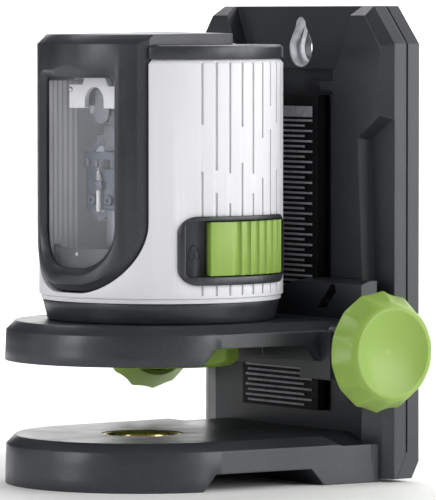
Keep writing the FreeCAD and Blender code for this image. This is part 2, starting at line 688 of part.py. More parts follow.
def fixing_knob():
    """Large knob and stud below the platform that hold the laser unit down."""
    low = D.fixing_bottom
    high = low + D.fixing_height
    lobed = scalloped(D.fixing_radius, low, high, 16, 0.8, D.fixing_phase)
    form = turning([(0, low), (D.fixing_radius - 1.6, low), (D.fixing_radius, low + 1.6),
                    (D.fixing_radius, high - 0.6), (D.fixing_radius - 0.6, high), (0, high)])
    bore = rod(D.stud_radius, low + 1.5, high + 1)
    under = cut(rod(13.5, low - 1, low + 1.2), rod(5.5, low - 2, low + 2))
    finish_part("fixing_knob", place(cut(common(lobed, form), bore, under), 0, D.laser_y, 0))
    tip = D.platform_top + 4.6
    stud = fuse(rod(D.stud_radius, low + 1.5, tip, "z", (0, D.laser_y)),
                rod(5.0, high, high + 0.45, "z", (0, D.laser_y)))
    finish_part("fixing_stud", stud)


# ---------------------------------------------------------------- laser unit
# These parts are made about their own axis, front towards -Y and the platform at zero height.
# in_laser() then turns them and sets them on the platform.

def held(target, label="holder"):
    """Wraps a shape, so that it can be moved again without losing its own position."""
    holder = document.addObject("Part::Compound", label)
    holder.Links = [target]
    return holder


def in_laser(label, target):
    holder = held(target, "laser_part")
    holder.Placement = Placement(Vector(0, 0, 0), Rotation(Vector(0, 0, 1), float(D.laser_turn)))
    bind(holder, "Placement.Base.y", D.laser_y)
    bind(holder, "Placement.Base.z", D.platform_top)
    return finish_part(label, holder)


def ring(outer, inner, low, high):
    return cut(rod(outer, low, high), rod(inner, low - 1, high + 1))


def side_block(angle, half_width, inner, outer, low, high, corner):
    """A block that points outwards at an angle from the front, with rounded corners."""
    box = block((-half_width, half_width), (-outer, -inner), (low, high))
    rounded = round_edges(box, corner, runs_along("y"))
    return turned(held(rounded), angle)


def hood_outline(grow, top):
    """U shape: straight sides and a round bottom that is flat in the middle."""
    corner = D.hood_corner + grow
    side = D.hood_half_width + grow
    low = D.hood_bottom - grow
    rounded = round_edges(block((-side, side), (-60, 0), (low, low + 2 * corner + 20)), corner,
                          lambda edge: runs_along("y")(edge) and edge.BoundBox.ZMax < float(low) + 1)
    upper = block((-side, side), (-60, 0), (low + corner + 5, top))
    return fuse(rounded, upper)


def grooves():
    """Fine upright lines around the shell, each broken at its own height."""
    breaks = [(47.0, 35.9), (36.2, 30.9), (35.6, 28.4), (46.4, 37.8), (35.2, 30.6), (43.6, 34.1),
              (51.1, 45.5)]
    lines = []
    inner = D.shell_radius - D.groove_depth
    half = D.groove_width / 2
    last = 360 - float(D.groove_first)
    count = int((last - float(D.groove_first)) / float(D.groove_step)) + 1
    for number in range(count):
        angle = float(D.groove_first) + float(D.groove_step) * number
        upper_end, lower_start = breaks[number % len(breaks)]
        spans = [(upper_end, D.shell_top + 1), (D.shell_bottom + 1.8, lower_start)]
        for low, high in spans:
            line = block((-half, half), (-D.shell_radius - 1, -inner), (low, high))
            lines.append(turned(held(line), angle))
    group = document.addObject("Part::Compound", "grooves")
    group.Links = lines
    return group


def shell_wall_blank():
    outer = D.shell_radius
    inner = outer - D.shell_wall
    step = D.shell_bottom + 1.0
    foot_radius = outer - 0.5
    return turning([(inner, D.shell_bottom), (foot_radius, D.shell_bottom), (foot_radius, step),
                    (outer, step + 0.2),
                    (outer, D.shell_top - 1.1), (outer - 0.8, D.shell_top), (inner, D.shell_top)])


def shell_and_door():
    lines = grooves()
    front = hood_outline(D.hood_gap, D.shell_top + 5)
    switch_hole = side_block(D.switch_angle, D.switch_half_width, 20, 35, D.switch_low, D.switch_high, 4.0)
    door_hole = side_block(D.door_angle, D.door_half_width, 15, 35, D.door_low, D.door_high, 2.5)
    pin_spot = door_pin_spot()
    pin_room = rod(2.2, D.door_low, D.door_high, "z", pin_spot)
    pin_bore = rod(D.pin_radius, D.door_low - 3, D.door_high + 3, "z", pin_spot)
    knuckles = fuse(rod(2.0, D.door_low - 4, D.door_low - 0.2, "z", pin_spot),
                    rod(2.0, D.door_high + 0.2, D.door_high + 4, "z", pin_spot))
    inside = rod(D.shell_radius - 0.5, 0, 70)
    with_knuckles = fuse(shell_wall_blank(), common(knuckles, inside))
    in_laser("white_shell", cut(with_knuckles, lines, front, switch_hole, door_hole, pin_bore, pin_room))

    door_low = D.door_low + 0.3
    door_high = D.door_high - 0.3
    door_block = side_block(D.door_angle, D.door_half_width - 0.3, 15, 35, door_low, door_high, 2.2)
    leaf = cut(common(shell_wall_blank(), door_block), hood_outline(0.35, D.shell_top + 5))
    barrel = common(rod(1.9, door_low, door_high, "z", pin_spot), rod(D.shell_radius - 0.2, 0, 70))
    bore = rod(D.pin_radius + D.running_gap, 0, 70, "z", pin_spot)
    door_lines = grooves()
    in_laser("battery_door", cut(fuse(leaf, barrel), bore, door_lines))
    in_laser("door_pin", rod(D.pin_radius, D.door_low - 2.8, D.door_high + 2.8, "z", pin_spot))


def door_pin_spot():
    """Hinge line of the battery door, just inside the shell at the door's front edge."""
    along = float(D.door_half_width) - 2.6
    inwards = math.sqrt(float(D.shell_radius) ** 2 - along ** 2) - 2.1
    return (-inwards, -along)


def hood():
    """Dark hood: window frame at the front, folded over the top."""
    top = D.hood_top
    inner = D.hood_radius - D.hood_wall
    body = turning([(inner, 0), (D.hood_radius, 0), (D.hood_radius, top - 2.3),
                    (D.hood_radius - 2.3, top), (0, top + 0.6), (0, D.cap_top), (inner, D.cap_top)])
    shaped = common(body, hood_outline(0, top + 2))
    roof_block = block((-D.hood_half_width, D.hood_half_width), (-1, 5.5), (D.cap_top, top + 2))
    roof = common(turning([(0, D.cap_top), (27.3, D.cap_top), (27.3, top), (0, top + 0.6)]), roof_block)
    window = window_block(0, 20, 40)
    opened = cut(fuse(shaped, roof), window)
    bevelled = round_edges(opened, D.hood_bevel, on_hood_face, "Part::Chamfer")
    return in_laser("front_hood", cut(bevelled, window_arch()))


def on_hood_face(edge):
    """A test for the edges of the hood's curved face, except the one along its top."""
    if edge.Degenerated or edge.BoundBox.ZMin > float(D.hood_top) - 4:
        return False
    middle = edge.valueAt((edge.FirstParameter + edge.LastParameter) / 2)
    points = [vertex.Point for vertex in edge.Vertexes] + [middle]
    return all(abs(math.hypot(point.x, point.y) - float(D.hood_radius)) < 0.01 for point in points)


def window_arch():
    """A shallow arch that slopes up and out from the top of the window."""
    depth = D.hood_wall
    slope = math.degrees(math.atan2(float(depth), float(D.window_arch)))
    tilt = Rotation(Vector(1, 0, 0), slope)
    drum = document.addObject("Part::Cylinder", "arch")
    bind(drum, "Radius", D.arch_radius)
    drum.Height = 12
    inner_edge = Vector(0, -float(D.hood_radius - depth), float(D.window_top))
    drum.Placement = Placement(inner_edge - tilt.multVec(Vector(0, float(D.arch_radius), 0)), tilt)
    side = D.window_half_width + D.hood_bevel
    limits = block((-side, side), (-D.hood_radius - 1, -D.hood_radius + 4.5),
                   (D.window_top - 2, D.window_top + 4))
    return common(held(drum), limits)


def window_block(grow, inner, outer):
    """The window's outline as a block: wide curves at its lower corners, small ones at the top."""
    side = D.window_half_width + grow
    top = D.window_top + grow
    box = block((-side, side), (-outer, -inner), (D.window_bottom - grow, top))
    middle = float(D.window_bottom + D.window_top) / 2

    def at_bottom(edge):
        return runs_along("y")(edge) and edge.BoundBox.ZMax < middle

    def at_top(edge):
        return runs_along("y")(edge) and edge.BoundBox.ZMax > float(top) - 0.01

    low = round_edges(box, float(D.window_corner) + float(grow), at_bottom)
    return round_edges(low, 1.6 + float(grow), at_top)


def laser_casing():
    outer = D.hood_radius - D.hood_wall
    pane = common(ring(outer, outer - D.pane_thickness, D.window_bottom - 2, D.window_top + 2),
                  window_block(1.6, 15, 40))
    in_laser("window_pane", pane)

    cap_blank = turning([(0, D.shell_top), (D.shell_radius, D.shell_top), (D.shell_radius, D.cap_top - 0.5),
                         (D.shell_radius - 0.7, D.cap_top), (0, D.cap_top)])
    front = hood_outline(D.hood_gap, D.cap_top)
    front_skin = cut(front, rod(D.hood_radius - D.hood_wall - 0.3, 0, 80))
    button_hole = rod(3.2, D.shell_top - 1, D.cap_top + 1, "z", (0, 15))
    lamp_hole = rod(1.2, D.shell_top - 1, D.cap_top + 1, "z", (8, 15))
    rim = rod(D.shell_radius - D.shell_wall, D.shell_top - 1.5, D.shell_top)
    rim_inside = rod(D.shell_radius - D.shell_wall - 1.6, D.shell_top - 2, D.shell_top + 1.2)
    in_laser("rear_cap", cut(fuse(cap_blank, rim), front_skin, button_hole, lamp_hole, rim_inside))

    skirt = turning([(0, 0.1), (D.skirt_radius, 0.1), (D.skirt_radius + 1.2, D.shell_bottom),
                     (0, D.shell_bottom)])
    insert_hole = rod(5.0, -1, 10)
    hollow = ring(24.5, 17.0, 2.2, D.shell_bottom + 1)
    in_laser("base_skirt", cut(skirt, insert_hole, hollow))
    insert = cut(rod(5.0, 0.2, D.shell_bottom), rod(3.17, -1, 6))
    in_laser("laser_insert", insert)


def lock_switch():
    frame_blank = common(ring(D.shell_radius + 0.7, D.shell_radius - 3.4, D.switch_low, D.switch_high),
                         side_block(D.switch_angle, D.switch_half_width, 15, 40, D.switch_low,
                                    D.switch_high, 4.0))
    trench = common(ring(D.shell_radius + 2, D.shell_radius - 2.0, D.slider_low - 0.5, D.slider_high + 0.5),
                    side_block(D.switch_angle, D.switch_half_width - 1.1, 15, 40, D.slider_low - 0.3,
                               D.slider_high + 0.3, 1.2))
    arm_slot = common(ring(40, 10, 15.5, 19.5), sector(float(D.slider_start) + 12, 26))
    in_laser("switch_frame", cut(frame_blank, trench, arm_slot))

    grip = cut(ring(D.slider_radius, D.shell_radius - 1.7, D.slider_low, D.slider_high), grip_flutes())
    slider = common(grip, sector(float(D.slider_start), float(D.slider_sweep) - 3.5))
    in_laser("lock_slider", slider)
    finger = common(ring(D.shell_radius - 1.7, 20.5, 16.2, 18.8), sector(float(D.slider_start) + 24.5, 6))
    in_laser("lock_finger", finger)


def sector(start, sweep):
    """A wedge about the axis, from one angle to another, measured from the front."""
    wedge = rod(60, -5, 75)
    wedge.Angle = sweep
    return turned(held(wedge), start - 90)


def grip_flutes():
    """Upright finger grooves across the slider."""
    flutes = [rod(1.15, D.slider_low - 1, D.slider_high + 1, "z", (0, -D.slider_radius - 0.45))]
    spots = [Placement(Vector(0, 0, 0), Rotation(Vector(0, 0, 1), float(D.slider_start) + 14 + 5.6 * k))
             for k in range(7)]
    return copies(flutes[0], *spots)


def power_parts():
    """Three AAA cells behind the door, their tray and contacts."""
    cell_low = 12.0
    cell_high = cell_low + D.cell_length
    angles = (-126, -97, -68)

    def around(target):
        return copies(target, *[Placement(Vector(0, 0, 0), Rotation(Vector(0, 0, 1), a)) for a in angles])

    cell = fuse(rod(D.cell_radius, cell_low, cell_high - 1.0, "z", (0, -D.cell_circle)),
                rod(1.9, cell_high - 1.0, cell_high, "z", (0, -D.cell_circle)))
    in_laser("battery_cells", around(cell))
    wall = common(ring(15.4, 14.4, 8.0, 58.0), sector(-143, 82))
    floor_plate = common(ring(26.6, 14.4, 8.0, 9.2), sector(-143, 82))
    roof_plate = common(ring(26.6, 14.4, 58.0, 59.2), sector(-143, 82))
    in_laser("battery_tray", fuse(wall, floor_plate, roof_plate))
    contact_low = block((-2.5, 2.5), (-D.cell_circle - 2.5, -D.cell_circle + 2.5), (9.2, 9.6))
    on_circle = (0, -D.cell_circle)
    spring = cut(rod(2.6, 9.6, cell_low, "z", on_circle), rod(1.9, 9, 13, "z", on_circle))
    contact_high = block((-2.5, 2.5), (-D.cell_circle - 2.5, -D.cell_circle + 2.5), (cell_high, 58.0))
    in_laser("battery_contacts", around(fuse(contact_low, spring, contact_high)))
    board = block((-12, 16), (17.5, 19.1), (30, 58))
    in_laser("control_board", board)
    button = fuse(rod(3.0, D.cap_top - 1.6, D.cap_top + 0.9, "z", (0, 15)),
                  rod(4.2, D.cap_top - 2.6, D.cap_top - 2.2, "z", (0, 15)),
                  rod(1.5, D.cap_top - 2.4, D.cap_top - 1.5, "z", (0, 15)))
    in_laser("mode_button", button)
    in_laser("status_lamp", rod(1.2, D.shell_top + 0.6, D.cap_top + 0.2, "z", (8, 15)))


def pendulum_parts():
    """Fixed gimbal yoke, gimbal ring and the pendulum that carries both laser modules."""
    px = D.pivot_x
    py = D.pivot_y
    pz = D.pivot_height
    pin = D.pin_radius
    bore = pin + D.running_gap

    def slab(x, y, z):
        return block((px + x[0], px + x[1]), (py + y[0], py + y[1]), (pz + z[0], pz + z[1]))

    bridge = fuse(slab((-3.6, 2.7), (-12.2, -8), (4.4, 6.2)), slab((-11.5, 11.5), (-8.5, 5), (4.4, 6.2)))
    front = py - 12.2
    face = prism("XZ", [(-9.4, pz - 2.5), (-9.4, pz + 3.1), (-4.5, pz + 3.1), (-3.6, pz + 6.2),
                        (2.7, pz + 6.2), (4.9, pz + 2.8), (9.4, pz + 2.8), (9.4, pz - 2.5)],
                 front, front + 1.4)
    cheeks = fuse(slab((-11.5, -10.0), (-4, 4), (-4, 5)), slab((10.0, 11.5), (-4, 4), (-4, 5)))
    arch = D.yoke_arch
    arch_x = -0.3
    notch = fuse(rod(arch, py - 14, py - 10, "y", (px + arch_x, pz - 0.9)),
                 slab((arch_x - arch, arch_x + arch), (-14, -10), (-4, -0.9)))
    posts = fuse(slab((-11.5, -8.5), (-2, 3), (5, 10.4)), slab((8.5, 11.5), (-2, 3), (5, 10.4)))
    yoke_bore = rod(bore, px - 20, px + 20, "x", (py, pz))
    in_laser("gimbal_yoke", cut(fuse(bridge, face, cheeks, posts), notch, yoke_bore))

    ring_blank = cut(slab((-9.5, 9.5), (-7.5, 7.5), (-2, 2)), slab((-7.5, 7.5), (-5.5, 5.5), (-3, 3)))
    ring_bore = rod(bore, py - 20, py + 20, "y", (px, pz))
    pins = fuse(rod(pin, px - 11.5, px - 8.0, "x", (py, pz)), rod(pin, px + 8.0, px + 11.5, "x", (py, pz)))
    in_laser("gimbal_ring", cut(fuse(ring_blank, pins), ring_bore))

    hanger = fuse(slab((-2, 2), (-4.6, 4.6), (-3.2, 3.0)), slab((-4, 4), (-4.6, 4.6), (-6.5, -3.0)))
    cross_pin = rod(pin, py - 7.5, py + 7.5, "y", (px, pz))
    spine = slab((-5.5, 5.5), (-2.5, 4.5), (-37, -6.0))
    upper_cradle = slab((-6.5, 6.5), (-6, 4.5), (-19, -9))
    lower_cradle = slab((-6.5, 6.5), (-6, 4.5), (-29.4, -20.2))
    upper_bore = rod(3.5, py - 14, py + 3.5, "y", (px, pz - 14))
    lower_bore = rod(3.5, py - 14, py + 3.5, "y", (px, pz - 24.6))
    body = fuse(hanger, cross_pin, spine, upper_cradle, lower_cradle)
    in_laser("pendulum_frame", cut(body, upper_bore, lower_bore))
    for label, height in (("cross_laser_module", -14), ("plumb_laser_module", -24.6)):
        at = (px, pz + height)
        barrel = fuse(rod(3.5, py - 8.5, py + 3.4, "y", at), rod(4.1, py - 10.4, py - 6.4, "y", at))
        lens_seat = rod(2.6, py - 13, py - 9.4, "y", at)
        in_laser(label, cut(barrel, lens_seat))
        in_laser(label.replace("module", "lens"), rod(2.6, py - 10.1, py - 9.4, "y", at))
    weight = rod(7.0, pz - 42.5, pz - 37, "z", (px, py))
    in_laser("pendulum_weight", weight)
    magnet = rod(6.0, D.shell_bottom + 1.6, pz - 44.3, "z", (px, py))
    cup = cut(rod(9.0, D.shell_bottom + 0.05, D.shell_bottom + 4.0, "z", (px, py)),
              rod(6.05, D.shell_bottom + 1.5, D.shell_bottom + 9, "z", (px, py)))
    in_laser("damping_magnet", magnet)
    in_laser("magnet_cup", cup)


# ---------------------------------------------------------------- build, check, write

def check_and_write():
    document.recompute()
    for item in document.Objects:
        if "Invalid" in item.State or "Error" in item.State:
            raise RuntimeError("%s (%s) failed to recompute" % (item.Name, item.Label))
    os.makedirs("parts", exist_ok=True)
    for item in parts:
        shape = item.Shape
        if shape.isNull() or not shape.isValid() or not shape.Solids:
            raise RuntimeError("%s has no valid solid" % item.Label)
        shape.exportStep(os.path.join("parts", item.Label + ".step"))
        print("%-22s %2d solids %10.1f mm3" % (item.Label, len(shape.Solids), shape.Volume))


front_frame()
foot()
back_cover()
plate_fittings()
toothed_rail()
tripod_insert()
carriage()
carriage_fittings()
height_drive()
fixing_knob()
shell_and_door()
hood()
laser_casing()
lock_switch()
power_parts()
pendulum_parts()
check_and_write()
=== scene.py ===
import json
import math

import bmesh
import bpy
from mathutils import Matrix, Vector


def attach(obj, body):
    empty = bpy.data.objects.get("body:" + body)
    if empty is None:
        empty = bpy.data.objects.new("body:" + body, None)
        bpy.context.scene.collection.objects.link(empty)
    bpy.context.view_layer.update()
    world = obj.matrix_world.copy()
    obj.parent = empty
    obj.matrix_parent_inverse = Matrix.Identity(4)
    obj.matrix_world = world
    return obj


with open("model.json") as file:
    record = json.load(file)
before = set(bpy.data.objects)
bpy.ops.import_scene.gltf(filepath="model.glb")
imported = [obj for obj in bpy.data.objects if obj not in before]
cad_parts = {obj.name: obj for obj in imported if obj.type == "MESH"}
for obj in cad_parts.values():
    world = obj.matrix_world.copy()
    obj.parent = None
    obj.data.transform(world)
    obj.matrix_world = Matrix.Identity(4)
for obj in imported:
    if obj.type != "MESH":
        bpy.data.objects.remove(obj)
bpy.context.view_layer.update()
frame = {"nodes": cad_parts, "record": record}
scene = bpy.context.scene
nodes = frame["nodes"]
MM = 0.001

# ---------------------------------------------------------------- materials


class Graph:
    """A new material whose shader nodes are added and linked by short calls."""

    def __init__(self, name):
        self.material = bpy.data.materials.new(name)
        self.material.use_nodes = True
        self.tree = self.material.node_tree
        self.shader = self.tree.nodes["Principled BSDF"]
        self.place = self.add("ShaderNodeTexCoord").outputs["Object"]

    def add(self, kind, **settings):
        node = self.tree.nodes.new(kind)
        for key, value in settings.items():
            setattr(node, key, value)
        return node

    def link(self, source, target):
        self.tree.links.new(source, target)

    def noise(self, scale, detail=3.0, stretch=(1, 1, 1), roughness=0.5):
        mapping = self.add("ShaderNodeMapping")
        mapping.inputs["Scale"].default_value = stretch
        self.link(self.place, mapping.inputs["Vector"])
        node = self.add("ShaderNodeTexNoise")
        node.inputs["Scale"].default_value = scale
        node.inputs["Detail"].default_value = detail
        node.inputs["Roughness"].default_value = roughness
        self.link(mapping.outputs["Vector"], node.inputs["Vector"])
        return node.outputs["Fac"]

    def spread(self, source, low, high, from_low=0.3, from_high=0.7):
        node = self.add("ShaderNodeMapRange")
        node.inputs["From Min"].default_value = from_low
        node.inputs["From Max"].default_value = from_high
        node.inputs["To Min"].default_value = low
        node.inputs["To Max"].default_value = high
        self.link(source, node.inputs["Value"])
        return node.outputs["Result"]

    def blend(self, factor, first, second):
        node = self.add("ShaderNodeMix", data_type="RGBA")
        self.link(factor, node.inputs["Factor"])
        for socket, value in ((node.inputs["A"], first), (node.inputs["B"], second)):
            if isinstance(value, tuple):
                socket.default_value = (*value, 1.0)
            else:
                self.link(value, socket)
        return node.outputs["Result"]

    def bump(self, height, strength, distance, normal):
        node = self.add("ShaderNodeBump")
        node.inputs["Strength"].default_value = strength
        node.inputs["Distance"].default_value = distance
        self.link(height, node.inputs["Height"])
        self.link(normal, node.inputs["Normal"])
        return node.outputs["Normal"]

    def soft_edges(self, radius):
        node = self.add("ShaderNodeBevel")
        node.samples = 4
        node.inputs["Radius"].default_value = radius
        return node.outputs["Normal"]


def shade(colour, factor):
    return tuple(min(1.0, c * factor) for c in colour)


def moulded(name, colour, roughness, grain=2600.0, depth=0.00003, strength=0.35, edge=0.00025,
            variation=0.10, coat=0.0, speckle=0.0):
    """Moulded plastic: fine spark texture, faint mottling, edges polished by handling."""
    g = Graph(name)
    mottle = g.spread(g.noise(45.0, 4.0), 0.0, 1.0)
    base = g.blend(mottle, shade(colour, 1 - variation), shade(colour, 1 + variation))
    if speckle:
        dots = g.spread(g.noise(grain * 0.6, 2.0), 0.0, speckle, 0.55, 0.75)
        base = g.blend(dots, base, shade(colour, 2.2))
    g.link(base, g.shader.inputs["Base Color"])
    polish = g.spread(g.noise(120.0, 5.0), roughness - 0.05, roughness + 0.07)
    g.link(polish, g.shader.inputs["Roughness"])
    fine = g.noise(grain, 2.0, roughness=0.6)
    g.link(g.bump(fine, strength, depth, g.soft_edges(edge)), g.shader.inputs["Normal"])
    g.shader.inputs["Coat Weight"].default_value = coat
    g.shader.inputs["Coat Roughness"].default_value = 0.25
    return g.material


def metal(name, colour, roughness, stretch=(1, 1, 1), scale=900.0, depth=0.00002, variation=0.12,
          tarnish=None):
    """Machined or plated metal with directional tool marks and a little tarnish."""
    g = Graph(name)
    marks = g.noise(scale, 5.0, stretch)
    base = g.blend(g.spread(marks, 0.0, 1.0),
                   shade(colour, 1 - variation), shade(colour, 1 + variation))
    if tarnish:
        base = g.blend(g.spread(g.noise(160.0, 6.0), 0.0, 0.5, 0.5, 0.75), base, tarnish)
    g.link(base, g.shader.inputs["Base Color"])
    g.shader.inputs["Metallic"].default_value = 1.0
    polish = g.spread(g.noise(300.0, 4.0), roughness - 0.06, roughness + 0.1)
    g.link(polish, g.shader.inputs["Roughness"])
    g.link(g.bump(marks, 0.4, depth, g.soft_edges(0.0002)), g.shader.inputs["Normal"])
    return g.material


def clear(name, tint, alpha, roughness=0.02):
    """Thin clear plastic: mostly see-through, with a glossy skin and faint rub marks."""
    g = Graph(name)
    g.link(g.blend(g.noise(60.0, 3.0), shade(tint, 0.96), tint), g.shader.inputs["Base Color"])
    g.link(g.spread(g.noise(500.0, 4.0), roughness, roughness + 0.05), g.shader.inputs["Roughness"])
    g.shader.inputs["Alpha"].default_value = alpha
    g.shader.inputs["IOR"].default_value = 1.45
    g.shader.inputs["Coat Weight"].default_value = 0.3
    return g.material


def ribbed(name, colour, crest, roughness, face):
    """Rail plastic whose tooth crests carry a painted highlight, far lighter than the near-black
    gaps, which stand in for their shade: face is the crest plane's y.
    """
    g = Graph(name)
    axes = g.add("ShaderNodeSeparateXYZ")
    g.link(g.place, axes.inputs["Vector"])
    # painted highlight mask: 1 on the tooth crests, 0 down in the shaded gaps
    crest_highlight = g.spread(axes.outputs["Y"], 1.0, 0.0, face + 0.00012, face + 0.00034)
    patch = g.spread(g.noise(700.0, 3.0), 0.65, 1.0)
    both = g.add("ShaderNodeMath", operation="MULTIPLY")
    g.link(crest_highlight, both.inputs[0])
    g.link(patch, both.inputs[1])
    # crest is the painted highlight colour laid on the tooth tops; colour is the near-black painted
    # shade of the gaps
    g.link(g.blend(both.outputs["Value"], colour, crest), g.shader.inputs["Base Color"])
    polish = g.spread(g.noise(200.0, 4.0), roughness - 0.05, roughness + 0.08)
    g.link(polish, g.shader.inputs["Roughness"])
    fine = g.noise(2600.0, 2.0)
    g.link(g.bump(fine, 0.3, 0.00002, g.soft_edges(0.00012)), g.shader.inputs["Normal"])
    g.shader.inputs["Specular IOR Level"].default_value = 0.15
    return g.material


# the y, in metres, of the plane of the rail's tooth crests
RAIL_FACE = 0.0403
LOOKS = {
    "dark_plastic": moulded("charcoal_plastic", (0.0265, 0.029, 0.035), 0.34,
                            speckle=0.4, edge=0.00035),
    # the second colour is the painted highlight on the rail's tooth crests
    "rail_plastic": ribbed("rail_plastic", (0.007, 0.0075, 0.009), (0.46, 0.47, 0.50), 0.45,
                           RAIL_FACE),
    "white_plastic": moulded("white_plastic", (0.72, 0.72, 0.74), 0.50,
                             depth=0.000012, variation=0.015),
    "green_plastic": moulded("lime_plastic", (0.245, 0.385, 0.060), 0.42,
                             depth=0.000015, variation=0.05, coat=0.05),
    "brass": metal("turned_brass", (0.80, 0.60, 0.28), 0.24, (1, 1, 6),
                   tarnish=(0.50, 0.36, 0.14)),
    "steel": metal("zinc_plated_steel", (0.62, 0.62, 0.64), 0.30, (6, 1, 1),
                   tarnish=(0.40, 0.40, 0.42)),
    "magnet": metal("nickel_plate", (0.66, 0.66, 0.67), 0.22),
    "gear_plastic": moulded("acetal", (0.030, 0.030, 0.031), 0.40, variation=0.04),
    "rubber": moulded("rubber", (0.022, 0.022, 0.023), 0.72,
                      grain=1800, depth=0.00004, strength=0.5),
    "clear_pane": clear("clear_pane", (0.90, 0.92, 0.96), 0.06),
    "light_plastic": moulded("light_plastic", (0.84, 0.84, 0.87), 0.42, variation=0.03),
    "zinc": metal("die_cast_zinc", (0.22, 0.235, 0.27), 0.50, scale=500.0),
    "module_metal": metal("anodised_barrel", (0.14, 0.16, 0.21), 0.42, (1, 1, 8)),
    "lens": clear("lens_glass", (0.80, 0.86, 1.0), 0.5, roughness=0.01),
    "cell_sleeve": moulded("cell_sleeve", (0.05, 0.055, 0.065), 0.25, variation=0.05),
    "board": moulded("solder_mask", (0.02, 0.13, 0.06), 0.35, variation=0.15),
    "lamp": moulded("lamp_lens", (0.72, 0.76, 0.72), 0.25, variation=0.03),
}
GALVANISED = metal("galvanised_sheet", (0.62, 0.63, 0.66), 0.72,
                   scale=350.0, depth=0.00004, variation=0.2)
slot_of = {entry["node"]: entry["material_slot"] for entry in frame["record"]["subparts"]}


def dress(obj, material):
    obj.data.materials.clear()
    obj.data.materials.append(material)


for name, obj in nodes.items():
    for entry in obj.material_slots:
        entry.material = GALVANISED if name == "hanger_plate" else LOOKS[slot_of[name]]

# ---------------------------------------------------------------- softened CAD edges


BEVEL_SEGMENTS = 2
BEVEL_ANGLE = math.radians(32)
WELD_DISTANCE = 0.002 * MM
# widths in millimetres
EDGES = {
    "front_frame": 0.5, "foot": 0.6, "back_cover": 0.5, "carriage": 0.4, "rear_cap": 0.35,
    "base_skirt": 0.3, "switch_frame": 0.35, "lock_slider": 0.5, "front_hood": 0.2,
    "white_shell": 0.12, "battery_door": 0.12, "height_knob_right": 0.5, "height_knob_left": 0.5,
    "fixing_knob": 0.6, "tripod_insert": 0.2, "toothed_rail": 0.08, "pendulum_frame": 0.3,
    "gimbal_yoke": 0.2, "gimbal_ring": 0.2, "mode_button": 0.3,
}


def soften(name, width):
    """Asks for rounded edges on a CAD node; the clamp keeps them tiny on its dense mesh."""
    obj = nodes[name]
    weld = obj.modifiers.new("weld", "WELD")
    weld.merge_threshold = WELD_DISTANCE
    bevel = obj.modifiers.new("edge", "BEVEL")
    bevel.width = width * MM
    bevel.segments = BEVEL_SEGMENTS
    bevel.limit_method = "ANGLE"
    bevel.angle_limit = BEVEL_ANGLE
    bevel.use_clamp_overlap = True
    bevel.harden_normals = True


for name, width in EDGES.items():
    soften(name, width)

# ---------------------------------------------------------------- pieces made here

# The laser unit stands on the platform, turned a little about its upright axis.
UNIT_PLACE = (0, 5.5 * MM, 38.8 * MM)
UNIT_TURN = math.radians(6)
WORLD = Matrix.Identity(4)
LASER = Matrix.Translation(UNIT_PLACE) @ Matrix.Rotation(UNIT_TURN, 4, "Z")


def hand_over(name, data, slot, body):
    """Puts mesh or curve data into the scene as a piece that rides on a body."""
    obj = bpy.data.objects.new(name, data)
    scene.collection.objects.link(obj)
    dress(obj, LOOKS[slot])
    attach(obj, body)
    return obj


def join_rings(form, rings, closed=True):
    """Joins each ring of vertices to the next with four-sided faces."""
    for one, two in zip(rings, rings[1:]):
        for k in range(len(one) if closed else len(one) - 1):
            n = (k + 1) % len(one)
            form.faces.new((one[k], one[n], two[n], two[k]))


def loft(form, rings):
    """Joins closed rings of vertices and closes both ends."""
    join_rings(form, rings)
    form.faces.new(rings[0])
    form.faces.new(list(reversed(rings[-1])))


def add_piece(name, form, slot, body, where=LASER, smooth=40):
    """Turns a bmesh in millimetres into a piece; where takes its frame to the row frame."""
    mesh = bpy.data.meshes.new(name)
    bmesh.ops.recalc_face_normals(form, faces=form.faces)
    form.to_mesh(mesh)
    form.free()
    mesh.transform(where @ Matrix.Scale(MM, 4))
    for face in mesh.polygons:
        face.use_smooth = True
    mesh.set_sharp_from_angle(angle=math.radians(smooth))
    return hand_over(name, mesh, slot, body)


def add_box(form, low, high, bevel):
    """A box between two corners, with rounded edges where bevel is over 0."""
    low, high = Vector(low), Vector(high)
    made = bmesh.ops.create_cube(form, size=1.0)["verts"]
    for vert in made:
        vert.co = Vector(low[k] + (vert.co[k] + 0.5) * (high[k] - low[k]) for k in range(3))
    if bevel:
        edges = dict.fromkeys(edge for vert in made for edge in vert.link_edges)
        bmesh.ops.bevel(form, geom=list(edges), offset=bevel, segments=2, profile=0.5,
                        affect="EDGES")


def add_lathe(form, centre, axis, profile, segments):
    """A surface of revolution; profile holds (radius, distance along axis) from end to end."""
    axis = Vector(axis).normalized()
    side = axis.orthogonal().normalized()
    other = axis.cross(side)
    rings = []
    for radius, along in profile:
        ring = []
        for k in range(segments):
            angle = 2 * math.pi * k / segments
            out = side * math.cos(angle) + other * math.sin(angle)
            ring.append(form.verts.new(Vector(centre) + axis * along + out * radius))
        rings.append(ring)
    loft(form, rings)


def add_wire(name, points, radius, slot, body, closed=False):
    """A round wire through points in the laser unit, in millimetres."""
    data = bpy.data.curves.new(name, "CURVE")
    data.dimensions = "3D"
    data.bevel_depth = radius * MM
    data.bevel_resolution = 3
    data.use_fill_caps = True
    line = data.splines.new("POLY")
    line.points.add(len(points) - 1)
    for spot, point in zip(line.points, points):
        spot.co = (*(LASER @ (Vector(point) * MM)), 1.0)
    line.use_cyclic_u = closed
    line.use_smooth = True
    hand_over(name, data, slot, body)


def around(angle, radius, height):
    """A point in the laser unit, from its angle off the front, radius and height."""
    turn = math.radians(angle)
    return Vector((radius * math.sin(turn), -radius * math.cos(turn), height))


